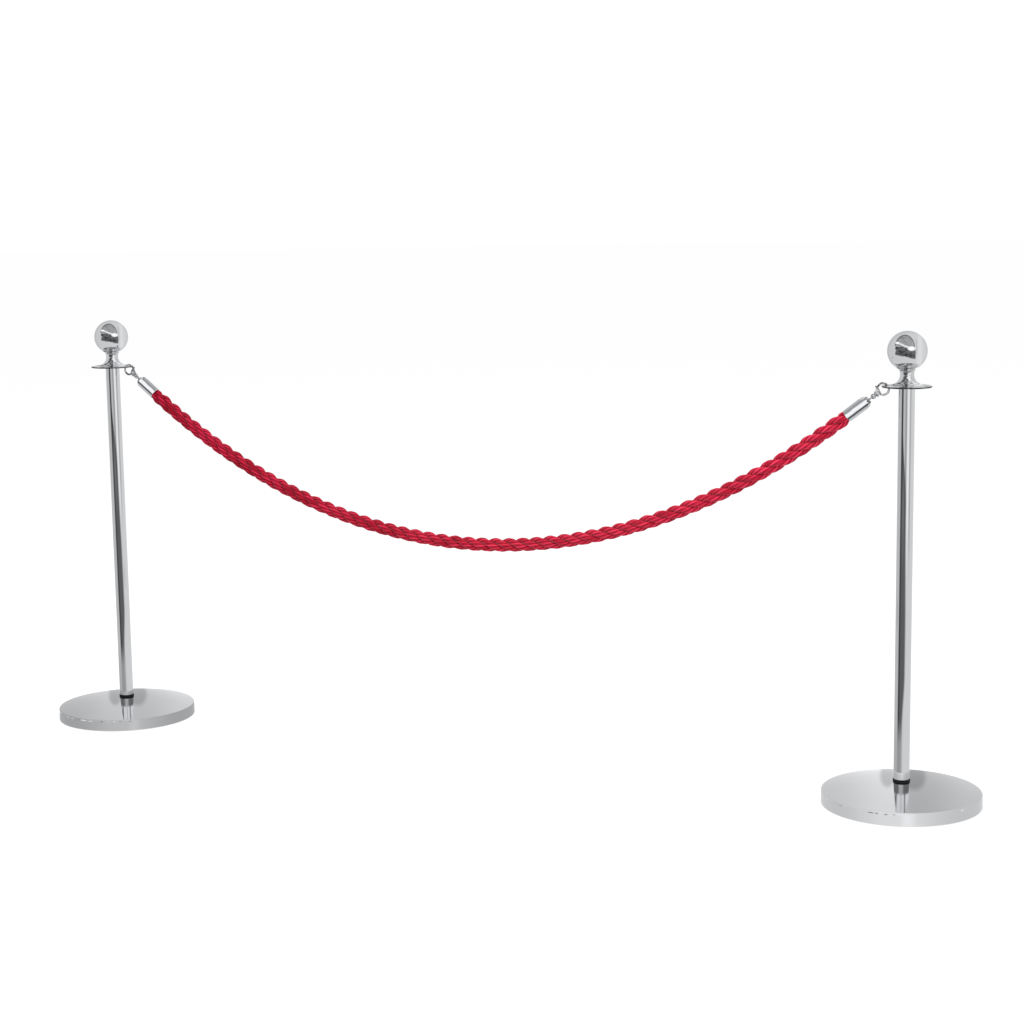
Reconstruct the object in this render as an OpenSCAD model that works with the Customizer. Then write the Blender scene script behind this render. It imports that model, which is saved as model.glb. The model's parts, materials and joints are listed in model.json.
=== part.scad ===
// Rope barrier set: two free-standing ball-top posts joined by a hanging
// rope with end caps and swivel snap hooks.
// Origin: on the floor, midway between the two posts. +X points to the right
// post, +Y away from the front, +Z up. Millimetres.

/* [Posts] */
// Distance between the two post axes
post_spacing = 1900; // [1700:10:1950]
// Height from the floor to the top of the ball
post_height = 950; // [900:5:1000]
// Outside diameter of the tube
tube_d = 32; // [30:0.5:34]
// Wall of the tube
tube_wall = 1.5; // [1.2:0.1:2]

/* [Base] */
// Outside diameter of the base
base_d = 320; // [300:5:340]
// Rise of the domed cover above the floor at its centre
base_top = 48; // [46:0.5:52]
// Height lost from the centre to the rim of the dome
dome_rise = 20; // [16:0.5:21]
// Thickness of the spun cover
cover_t = 1.2; // [1:0.1:1.5]
// Thickness of the cast disc inside
weight_t = 13; // [12.5:0.5:14]
// Height of the rubber ring between cover and tube
foot_ring_h = 4.5; // [4:0.5:7]

/* [Head] */
// Diameter of the ball
ball_d = 78; // [74:1:80]
// Height of the ball's centre above the collar's underside
ball_rise = 71; // [70:0.5:72]
// Diameter of the collar plate
collar_d = 97; // [95:1:100]
// Thickness of the collar plate where the hook holes are
collar_t = 3; // [2.5:0.1:3.2]
// Circle the hook holes sit on, as a radius
hole_r = 39; // [38.5:0.25:39.5]
// Diameter of a hook hole
hole_d = 11; // [10.8:0.1:11.4]

/* [Rope] */
// Diameter over the strands
rope_d = 30; // [26:0.5:31]
// Slope of the rope where it leaves each post, in degrees
rope_angle = 37.5; // [34:0.5:40]
// Radius of the domed ends where two lengths of rope meet
rope_dome_r = 22; // [20:1:24]

/* [Rope ends] */
// Outside diameter of an end cap
cap_d = 26; // [25:0.5:28]
// Length of an end cap
cap_len = 56; // [50:1:60]
// Wall of an end cap
cap_wall = 1; // [0.8:0.1:1.2]
// Wire diameter of the hook's loop
hook_wire = 4.5; // [4:0.1:4.6]
// Mean radius of the hook's loop
hook_r = 11.5; // [11.4:0.1:12]

/* [Hidden] */
rope_segs = 12;
overlap = 0.01;       // between shapes joined end to end
cut = 1;              // overshoot of a cutting shape
contact_gap = 0.02;   // between parts that bear on each other
dome_gap = 0.03;      // between the base dome or the ball and its seat
plug_gap = 0.03;
thread_gap = 0.05;

// post
post_x = post_spacing / 2;
ball_r = ball_d / 2;
collar_z = post_height - ball_r - ball_rise;
tube_r = tube_d / 2;
tube_bore_r = tube_r - tube_wall;
tube_z = base_top + foot_ring_h;
base_r = base_d / 2;
bolt_r = 6;
stud_r = 5;

// dome of the base: a large circle that drops dome_rise to the rolled edge's centre line
edge_r = 3;
edge_x = base_r - edge_r;
dome_r = arc_radius(edge_x, dome_rise);
dome_z = base_top - dome_r;
edge_z = dome_z + sqrt(pow(dome_r - edge_r, 2) - edge_x * edge_x);

// rope ends: X places run down the rope from the hook hole's centre
hole_x = post_x - hole_r;
hole_z = collar_z + collar_t / 2;
loop_x = hook_r - 1;                    // centre of the hook's loop
barrel_len = 9.2;
barrel_x = loop_x + hook_r - 1.9;
barrel_end = barrel_x + barrel_len;
eye_r = 3.8;                            // mean radius of the two linked eyes
eye_wire_r = 1.5;
eye_gap = 0.12;
swivel_eye_x = barrel_end + 0.5 + eye_r + eye_wire_r;
cap_eye_x = swivel_eye_x + 2 * eye_r - 2 * eye_wire_r - eye_gap;
shank_r = 2;                            // shanks of both eyes
cap_x = cap_eye_x + eye_r + eye_wire_r + 0.15;
cap_end = cap_x + cap_len;
cap_r = cap_d / 2;
cap_bore_r = cap_r - cap_wall;
cap_bore_start = 19;                    // from the cap's tip
screw_r = 2;
screw_inset = 14;                       // from the cap's mouth

// rope: straight through hook and cap, then a catenary between the cap mouths
rope_r = rope_d / 2;
mouth_x = hole_x - cap_end * cos(rope_angle);
mouth_z = hole_z - cap_end * sin(rope_angle);
catenary = mouth_x / asinh(tan(rope_angle));
half_rope = catenary * tan(rope_angle);

// colours
plate_steel = [0.80, 0.81, 0.83];
bright_steel = [0.82, 0.83, 0.85];
hook_steel = [0.78, 0.79, 0.81];
gate_steel = [0.76, 0.77, 0.79];
bolt_steel = [0.7, 0.7, 0.72];
plug_steel = [0.6, 0.6, 0.62];
spring_steel = [0.55, 0.56, 0.58];
screw_steel = [0.5, 0.5, 0.52];
cast_iron = [0.22, 0.22, 0.23];
pad_rubber = [0.08, 0.08, 0.08];
ring_rubber = [0.05, 0.05, 0.05];
rope_red = [0.74, 0.07, 0.18];

$fn = 96;

// ---------- shared helpers ----------

function asinh(t) = ln(t + sqrt(t * t + 1));

// radius of an arc that moves sideways by rise over a run along its tangent
function arc_radius(run, rise) = (run * run + rise * rise) / (2 * rise);

// rectangle of a turned section, between two radii and two heights
module band(inner, outer, bottom, top) {
    translate([inner, bottom]) square([outer - inner, top - bottom]);
}

// section of a disc whose two outer corners are rounded
module rounded_disc(outer, bottom, top, corner_r) {
    band(0, outer - corner_r, bottom, top);
    band(0, outer, bottom + corner_r, top - corner_r);
    for (z = [bottom + corner_r, top - corner_r])
        translate([outer - corner_r, z]) circle(r = corner_r);
}

// ---------- base of one post, built round its own axis ----------

pad_h = 3;            // floor to the underside of the weight
pad_groove_h = 1;
bolt_hole_r = bolt_r + 0.6;
recess_r = 15;        // pocket under the weight for washer and bolt head
recess_top = 14;
washer_r = 12;
washer_t = 2.5;
washer_z = recess_top - washer_t;
bolt_head_z = 4;
bolt_head_flats = 19;
bolt_shank_z = 8;
bolt_reach = 36;      // bolt inside the tube
ring_wall_r = tube_r + 0.6;
ring_lip_r = 0.7;
ring_lip_z = tube_z - 1.4;
ring_z = base_top - 2;

module dome_circle(inset) {
    translate([0, dome_z]) circle(r = dome_r - inset, $fn = 720);
}

// outline of the domed base, thinned by inset on every side
module base_outline(inset, bottom) {
    tangent_x = edge_x * (dome_r - inset) / (dome_r - edge_r);
    intersection() {
        dome_circle(inset);
        band(0, tangent_x, bottom, base_top + cut);
    }
    translate([edge_x, edge_z]) circle(r = edge_r - inset, $fn = 48);
    band(0, base_r - inset, bottom, edge_z);
}

// rubber pad ring the base stands on, with a groove in its underside
module floor_pad() {
    top = pad_h - contact_gap;
    color(pad_rubber)
    rotate_extrude($fn = 144)
    difference() {
        union() {
            band(110, 152, 0, top);
            band(105, 154, 1.2, top);
        }
        band(130, 133, -cut, pad_groove_h);
    }
}

// cast disc with a hub that carries the cover under the tube
module base_weight() {
    hub_r = 30;
    color(cast_iron)
    rotate_extrude($fn = 144)
    difference() {
        union() {
            band(0, base_r - cover_t - 0.6, pad_h, pad_h + weight_t);
            intersection() {
                dome_circle(cover_t + dome_gap);
                band(0, hub_r, pad_h, base_top + cut);
            }
            // stiffening ring cast under the dome
            band(96, 106, pad_h, pad_h + weight_t + 6);
        }
        band(0, bolt_hole_r, -cut, base_top + cut);
        band(0, recess_r, pad_h - cut, recess_top);
    }
}

// spun stainless cover: skirt, rolled edge and shallow dome
module base_cover() {
    skirt_z = 1.5;
    color(plate_steel)
    rotate_extrude($fn = 180)
    difference() {
        base_outline(0, skirt_z);
        base_outline(cover_t, -10);
        band(0, bolt_hole_r, base_top - 10, base_top + 10);
    }
}

module tie_washer() {
    color(bolt_steel)
    translate([0, 0, washer_z])
    difference() {
        cylinder(r = washer_r, h = washer_t - contact_gap, $fn = 64);
        translate([0, 0, -cut]) cylinder(r = bolt_r + 0.3, h = washer_t + 2 * cut, $fn = 48);
    }
}

// hex bolt up through weight, cover and foot ring into the lower plug
module tie_bolt() {
    color(bolt_steel) {
        translate([0, 0, bolt_head_z])
            cylinder(r = bolt_head_flats / 2 / cos(30),
                     h = washer_z - contact_gap - bolt_head_z, $fn = 6);
        translate([0, 0, bolt_shank_z])
            cylinder(r = bolt_r, h = tube_z + bolt_reach - bolt_shank_z, $fn = 48);
    }
}

// black rubber ring under the tube, with a rounded lip, seated on the dome
module foot_ring() {
    color(ring_rubber)
    rotate_extrude($fn = 96)
    difference() {
        union() {
            band(bolt_r + 0.5, ring_wall_r, ring_z, tube_z - contact_gap);
            band(ring_wall_r, ring_wall_r + ring_lip_r, ring_z, ring_lip_z);
            translate([ring_wall_r, ring_lip_z]) circle(r = ring_lip_r, $fn = 24);
        }
        dome_circle(-dome_gap);
    }
}

// ---------- tube and its plugs ----------

plug_len = 45;
plug_groove_h = 4;
plug_groove_depth = 1.5;   // from the tube's bore

// plug with a through hole and a relief groove, standing on z = 0
module plug(len, thread_r, groove_z) {
    difference() {
        cylinder(r = tube_bore_r - plug_gap, h = len, $fn = 72);
        translate([0, 0, -cut])
            cylinder(r = thread_r + thread_gap, h = len + 2 * cut, $fn = 48);
        translate([0, 0, groove_z]) difference() {
            cylinder(r = tube_r, h = plug_groove_h, $fn = 72);
            translate([0, 0, -cut])
                cylinder(r = tube_bore_r - plug_groove_depth, h = plug_groove_h + 2 * cut, $fn = 72);
        }
    }
}

// steel plug pressed into the lower end of the tube, tapped for the bolt
module lower_plug() {
    color(plug_steel)
    translate([0, 0, tube_z + contact_gap]) plug(plug_len, bolt_r, groove_z = 20);
}

module tube() {
    tube_len = collar_z - tube_z - contact_gap;
    color(bright_steel)
    translate([0, 0, tube_z])
    difference() {
        cylinder(r = tube_r, h = tube_len, $fn = 96);
        translate([0, 0, -cut]) cylinder(r = tube_bore_r, h = tube_len + 2 * cut, $fn = 96);
    }
}

// steel plug pressed into the upper end of the tube, tapped for the stud
module upper_plug() {
    color(plug_steel)
    translate([0, 0, collar_z - plug_len])
        plug(plug_len - 2 * contact_gap, stud_r, groove_z = 18);
}

// ---------- head of one post ----------

cone_h = 2.8;              // rise of the collar's cone above the plate
cone_foot_r = 32.6;
cone_top_r = 25.6;
stud_below = 34;           // stud below and above the collar's underside
stud_above = 52;
neck_r = 13.7;
waist_z = 25;              // above the collar's underside
finial_z = collar_t + cone_h + contact_gap;
foot_r = 25;
foot_top = finial_z + 1.4;
foot_arc_r = arc_radius(waist_z - foot_top, foot_r - 0.8 - neck_r);
cup_r = 19.5;
cup_top = ball_rise - sqrt(ball_r * ball_r - cup_r * cup_r) + 0.4;
cup_arc_r = arc_radius(cup_top - waist_z, cup_r - neck_r);
ball_wall = 1.6;
boss_r = 11;
boss_h = 18;               // from the bottom of the ball

// round plate with four hook holes and a low cone under the finial
module collar() {
    cone_top = collar_t + cone_h;
    color(plate_steel)
    translate([0, 0, collar_z])
    difference() {
        rotate_extrude($fn = 120)
        difference() {
            union() {
                rounded_disc(collar_d / 2, 0, collar_t, corner_r = 0.9, $fn = 32);
                polygon([[0, collar_t - 0.5], [cone_foot_r, collar_t - 0.5],
                         [cone_foot_r, collar_t], [cone_top_r, cone_top], [0, cone_top]]);
            }
            band(0, stud_r + 0.3, -cut, cone_top + cut);
        }
        for (a = [0 : 90 : 270])
            rotate([0, 0, a]) translate([hole_r, 0, -cut])
                cylinder(d = hole_d, h = collar_t + 2 * cut, $fn = 48);
    }
}

module finial_stud() {
    color(bolt_steel)
    translate([0, 0, collar_z - stud_below])
        cylinder(r = stud_r, h = stud_below + stud_above, $fn = 48);
}

// section that narrows to the neck along a hollow arc
module flare(outer, bottom, top, arc_r) {
    difference() {
        band(0, outer, bottom, top);
        translate([neck_r + arc_r, waist_z]) circle(r = arc_r, $fn = 180);
    }
}

// turned neck: trumpet foot, waist and a cup for the ball
module finial() {
    color(plate_steel)
    translate([0, 0, collar_z])
    rotate_extrude($fn = 120)
    difference() {
        union() {
            flare(foot_r - 0.4, foot_top - 0.3, waist_z, foot_arc_r);
            band(0, foot_r, finial_z, foot_top);
            // faint turned band at the waist
            band(0, neck_r + 0.12, waist_z - 3.5, waist_z + 3.5);
            flare(cup_r, waist_z, cup_top, cup_arc_r);
        }
        translate([0, ball_rise]) circle(r = ball_r + dome_gap, $fn = 240);
        band(0, stud_r + thread_gap, -cut, ball_rise);
    }
}

// hollow ball with an inner tapped boss
module ball() {
    color(bright_steel)
    translate([0, 0, collar_z + ball_rise])
    rotate_extrude($fn = 144)
    difference() {
        union() {
            difference() {
                intersection() {
                    band(0, ball_r + cut, -ball_r - cut, ball_r + cut);
                    circle(r = ball_r, $fn = 240);
                }
                circle(r = ball_r - ball_wall, $fn = 240);
            }
            intersection() {
                band(0, boss_r, -ball_r, boss_h - ball_r);
                circle(r = ball_r - 0.5, $fn = 240);
            }
        }
        band(0, stud_r + thread_gap, -ball_r - cut, boss_h - ball_r + 5);
    }
}

// ---------- hook, built along +X from the hook hole's centre ----------
// local X runs down the rope, local Z is square to it and upwards

barrel_r = 4.8;
shoulder_r = 6.3;             // ring near the barrel's rope end
swivel_head_x = barrel_x - 1.8;

// gate, pivoted near the barrel
gate_angle = 24;              // of the pin round the loop
pin_x = loop_x + hook_r * cos(gate_angle);
pin_z = hook_r * sin(gate_angle);
pin_r = 1;
gate_reach = 10.8;            // from the pin to where gate and nose meet
nose_gap = 0.2;               // either side of gate_reach
lug_r = 2.55;                 // clear of the swivel's shank
lug_w = 3.2;
slot_w = 3.4;
arm_w = 3.24;                 // narrow enough to pass between the cheeks
cheek_r = 3.4;
cheek_t = 2.1;
cheek_y = 2.35;
tab_len = 8.2;
tab_w = 2.6;
tab_t = 2.2;
coil_pitch = 0.36;

// puts z along the rope's line, starting at x
module along_rope(x) {
    translate([x, 0, 0]) rotate([0, 90, 0]) children();
}

module at_pin() {
    translate([pin_x, 0, pin_z]) children();
}

// cylinder on the pin's axis, centred across the hook
module pin_cylinder(r, h) {
    at_pin() rotate([90, 0, 0]) cylinder(r = r, h = h, center = true);
}

// round wire bent on the hook's loop; angles run from +X towards +Z
module loop_arc(start, sweep, wire_r) {
    translate([loop_x, 0, 0]) rotate([90, 0, 0]) rotate([0, 0, start])
        rotate_extrude(angle = sweep, $fn = 96)
            translate([hook_r, 0]) circle(r = wire_r, $fn = 32);
}

module eye_ring() {
    rotate_extrude($fn = 72) translate([eye_r, 0]) circle(r = eye_wire_r, $fn = 32);
}

// eye with a shank that turns in the hook's barrel, headed over inside
module swivel_eye() {
    color(hook_steel) {
        translate([swivel_eye_x, 0, 0]) rotate([90, 0, 0]) eye_ring();
        along_rope(swivel_head_x)
            cylinder(r = shank_r, h = swivel_eye_x - eye_r - swivel_head_x, $fn = 40);
        // shoulder against the barrel
        along_rope(barrel_end + 0.1) cylinder(r = 3.8, h = 1.3, $fn = 40);
        // head
        along_rope(swivel_head_x) cylinder(r = 2.6, h = 0.95, $fn = 40);
    }
}

// hook: loop of round wire from the nose, through the collar hole and round to
// the barrel, with two cheeks that hold the gate's pin
module hook_body() {
    color(hook_steel)
    difference() {
        union() {
            difference() {
                loop_arc(start = 72, sweep = 288, wire_r = hook_wire / 2);
                // nose is cut on an arc round the gate's pin, above the barrel only
                intersection() {
                    pin_cylinder(r = gate_reach + nose_gap, h = 20, $fn = 72);
                    translate([pin_x - 20, -12, 2]) cube([40, 24, 30]);
                }
            }
            // barrel for the swivel, with its shoulder ring
            along_rope(barrel_x) rotate_extrude($fn = 64) {
                rounded_disc(barrel_r, 0, barrel_len, corner_r = 0.8, $fn = 24);
                rounded_disc(shoulder_r, barrel_len - 3.5, barrel_len - 0.4,
                             corner_r = 0.7, $fn = 24);
            }
            // cheeks either side of the gate's lug
            for (side = [-1, 1]) translate([0, side * cheek_y, 0]) {
                pin_cylinder(r = cheek_r, h = cheek_t, $fn = 48);
                translate([pin_x - 0.6, -cheek_t / 2, 0.5]) cube([5, cheek_t, pin_z + 1.2]);
            }
        }
        // slot for the gate's lug
        pin_cylinder(r = 4.1, h = slot_w, $fn = 48);
        // pin hole through both cheeks
        pin_cylinder(r = pin_r + 0.03, h = 12, $fn = 32);
        // bore for the swivel's shank; its head bears on the inside of the loop
        along_rope(barrel_x - 4) cylinder(r = shank_r + 0.05, h = 20, $fn = 40);
    }
}

// sprung gate: lug on the pin, curved arm that closes the loop and a thumb tab
module gate() {
    color(gate_steel)
    difference() {
        union() {
            intersection() {
                loop_arc(start = gate_angle, sweep = 62, wire_r = hook_wire / 2 - 0.25);
                pin_cylinder(r = gate_reach - nose_gap, h = 20, $fn = 72);
                translate([0, -arm_w / 2, -5]) cube([40, arm_w, 30]);
            }
            pin_cylinder(r = lug_r, h = lug_w, $fn = 48);
            // thumb tab with a rounded end
            at_pin() rotate([0, -104, 0]) {
                translate([0, -tab_w / 2, -tab_t / 2]) cube([tab_len, tab_w, tab_t]);
                translate([tab_len, 0, 0]) rotate([90, 0, 0])
                    cylinder(r = 1.3, h = lug_w, center = true, $fn = 32);
            }
        }
        pin_cylinder(r = pin_r + 0.05, h = 12, $fn = 32);
        // pocket for the spring in the +Y side of the lug
        at_pin() translate([0, 0.05, 0]) rotate([-90, 0, 0])
            cylinder(r = lug_r - 0.6, h = 4, $fn = 40);
    }
}

// pin flush with the outer faces of the cheeks
module gate_pin() {
    color(plug_steel) pin_cylinder(r = pin_r, h = 2 * cheek_y + cheek_t, $fn = 32);
}

// three coils round the pin that push the gate shut, each a closed ring
module gate_spring() {
    color(spring_steel)
    for (i = [0 : 2])
        at_pin() translate([0, 0.4 + coil_pitch * i, 0]) rotate([90, 0, 0])
            rotate_extrude($fn = 40) translate([1.5, 0]) circle(r = 0.2, $fn = 16);
}

// ---------- end cap, in the same frame as the hook ----------

cap_shoulder_len = 14.5;
cap_tip_r = 3.6;
cap_arc_r = arc_radius(cap_shoulder_len, cap_r - cap_tip_r);   // tangent to the cap's side
mouth_round = 0.6;

// eye screwed into the tip of the cap, square to the swivel's eye
module cap_eye() {
    color(hook_steel) {
        translate([cap_eye_x, 0, 0]) eye_ring();
        along_rope(cap_eye_x + eye_r) cylinder(r = shank_r, h = 14, $fn = 40);
    }
}

// turned cap: small tip, rounded shoulder, straight side and rolled mouth
module end_cap() {
    color(bright_steel)
    along_rope(cap_x)
    difference() {
        rotate_extrude($fn = 96)
        difference() {
            union() {
                intersection() {
                    translate([cap_r - cap_arc_r, cap_shoulder_len])
                        circle(r = cap_arc_r, $fn = 180);
                    square([cap_r, cap_shoulder_len]);
                }
                band(0, cap_r, cap_shoulder_len - overlap, cap_len - mouth_round);
                band(0, cap_r - mouth_round, cap_len - 0.7, cap_len);
                translate([cap_r - mouth_round, cap_len - mouth_round])
                    circle(r = mouth_round, $fn = 24);
            }
            band(0, cap_bore_r, cap_bore_start, cap_len + cut);
            band(0, shank_r + 0.03, -cut, cap_bore_start + 20);
        }
        // hole for the clamping screw, on the underside
        translate([0, 0, cap_len - screw_inset]) rotate([0, 90, 0])
            cylinder(r = screw_r + 0.05, h = 30, $fn = 32);
    }
}

// grub screw that clamps the rope in the cap, with a hex socket
module cap_screw() {
    color(screw_steel)
    translate([cap_end - screw_inset, 0, 0.15 - cap_r])
    difference() {
        cylinder(r = screw_r, h = 6, $fn = 32);
        translate([0, 0, -cut]) cylinder(r = 1.1, h = 1.8 + cut, $fn = 6);
    }
}

// ---------- rope ----------

joint_gap = 0.25;   // each dome's tip to its joint
mouth_gap = 0.9;    // flat end to the cap's mouth

// point of the catenary, as [x, z], at arc length s from its lowest point
function catenary_point(s) =
    [catenary * asinh(s / catenary),
     mouth_z + sqrt(catenary * catenary + s * s)
             - sqrt(catenary * catenary + half_rope * half_rope)];

// joint i of the rope, 0 at the left cap's mouth
function joint(i) = catenary_point(-half_rope + 2 * half_rope * i / rope_segs);

// half section of a length of rope, each end either domed or flat
module rope_outline(len, dome_start, dome_end) {
    centre = rope_dome_r + joint_gap;
    dome_side = centre - sqrt(rope_dome_r * rope_dome_r - rope_r * rope_r);
    start = dome_start ? dome_side : mouth_gap;
    end = len - (dome_end ? dome_side : mouth_gap);
    band(0, rope_r, start - overlap, end + overlap);
    if (dome_start) intersection() {
        translate([0, centre]) circle(r = rope_dome_r, $fn = 96);
        band(0, rope_r, 0, dome_side);
    }
    if (dome_end) intersection() {
        translate([0, len - centre]) circle(r = rope_dome_r, $fn = 96);
        band(0, rope_r, len - dome_side, len);
    }
}

// straight length number i, 1 at the left cap
module rope_part(i) {
    from = joint(i - 1);
    span = joint(i) - from;
    color(rope_red)
    translate([from[0], 0, from[1]]) rotate([0, atan2(span[0], span[1]), 0])
        rotate_extrude($fn = 64) rope_outline(norm(span), i > 1, i < rope_segs);
}

// stub of rope held inside a cap, with a hole for the screw
module rope_stub() {
    color(rope_red)
    difference() {
        along_rope(cap_x + cap_bore_start + 0.5)
            cylinder(r = cap_bore_r - 0.1, h = cap_len - cap_bore_start + 4, $fn = 64);
        translate([cap_end - screw_inset, 0, -cap_r])
            cylinder(r = screw_r + 0.15, h = 6.4, $fn = 32);
    }
}

// ---------- placing ----------

module at_post(side) { translate([side * post_x, 0, 0]) children(); }
module left_end() { translate([-hole_x, 0, hole_z]) rotate([0, rope_angle, 0]) children(); }
module right_end() { mirror([1, 0, 0]) left_end() children(); }

at_post(-1) floor_pad();  // left_floor_pad
at_post(-1) base_weight();  // left_base_weight
at_post(-1) base_cover();  // left_base_cover
at_post(-1) tie_washer();  // left_tie_washer
at_post(-1) tie_bolt();  // left_tie_bolt
at_post(-1) foot_ring();  // left_foot_ring
at_post(-1) lower_plug();  // left_lower_plug
at_post(-1) tube();  // left_tube
at_post(-1) upper_plug();  // left_upper_plug
at_post(-1) collar();  // left_collar
at_post(-1) finial_stud();  // left_finial_stud
at_post(-1) finial();  // left_finial
at_post(-1) ball();  // left_ball

at_post(1) floor_pad();  // right_floor_pad
at_post(1) base_weight();  // right_base_weight
at_post(1) base_cover();  // right_base_cover
at_post(1) tie_washer();  // right_tie_washer
at_post(1) tie_bolt();  // right_tie_bolt
at_post(1) foot_ring();  // right_foot_ring
at_post(1) lower_plug();  // right_lower_plug
at_post(1) tube();  // right_tube
at_post(1) upper_plug();  // right_upper_plug
at_post(1) collar();  // right_collar
at_post(1) finial_stud();  // right_finial_stud
at_post(1) finial();  // right_finial
at_post(1) ball();  // right_ball

left_end() swivel_eye();  // left_swivel_eye
left_end() hook_body();  // left_hook_body
left_end() gate();  // left_gate
left_end() gate_pin();  // left_gate_pin
left_end() gate_spring();  // left_gate_spring
left_end() cap_eye();  // left_cap_eye
left_end() end_cap();  // left_end_cap
left_end() cap_screw();  // left_cap_screw

right_end() swivel_eye();  // right_swivel_eye
right_end() hook_body();  // right_hook_body
right_end() gate();  // right_gate
right_end() gate_pin();  // right_gate_pin
right_end() gate_spring();  // right_gate_spring
right_end() cap_eye();  // right_cap_eye
right_end() end_cap();  // right_end_cap
right_end() cap_screw();  // right_cap_screw

union() { rope_part(1); left_end() rope_stub(); }  // rope_seg_01
rope_part(2);  // rope_seg_02
rope_part(3);  // rope_seg_03
rope_part(4);  // rope_seg_04
rope_part(5);  // rope_seg_05
rope_part(6);  // rope_seg_06
rope_part(7);  // rope_seg_07
rope_part(8);  // rope_seg_08
rope_part(9);  // rope_seg_09
rope_part(10);  // rope_seg_10
rope_part(11);  // rope_seg_11
union() { rope_part(12); right_end() rope_stub(); }  // rope_seg_12
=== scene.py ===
import json
import math

import bpy
import numpy as np
from mathutils import Matrix, Vector


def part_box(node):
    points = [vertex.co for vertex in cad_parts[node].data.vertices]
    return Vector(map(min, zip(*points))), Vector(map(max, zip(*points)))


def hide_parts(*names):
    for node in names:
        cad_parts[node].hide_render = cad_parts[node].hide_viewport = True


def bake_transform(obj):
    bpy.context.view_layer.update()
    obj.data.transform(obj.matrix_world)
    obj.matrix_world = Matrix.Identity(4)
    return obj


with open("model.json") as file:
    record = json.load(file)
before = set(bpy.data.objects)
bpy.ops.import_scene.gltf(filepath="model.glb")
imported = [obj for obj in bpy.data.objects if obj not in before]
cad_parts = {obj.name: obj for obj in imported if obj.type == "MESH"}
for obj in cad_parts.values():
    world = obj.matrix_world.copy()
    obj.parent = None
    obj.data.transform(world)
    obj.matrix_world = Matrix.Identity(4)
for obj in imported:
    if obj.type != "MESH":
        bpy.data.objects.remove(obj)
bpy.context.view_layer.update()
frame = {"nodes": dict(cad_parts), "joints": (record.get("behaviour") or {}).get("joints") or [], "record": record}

scene = bpy.context.scene
NODES = frame["nodes"]
BODIES = frame["record"]["behaviour"]["bodies"]
JOINTS = {j["name"]: j for j in frame["joints"]}


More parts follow.
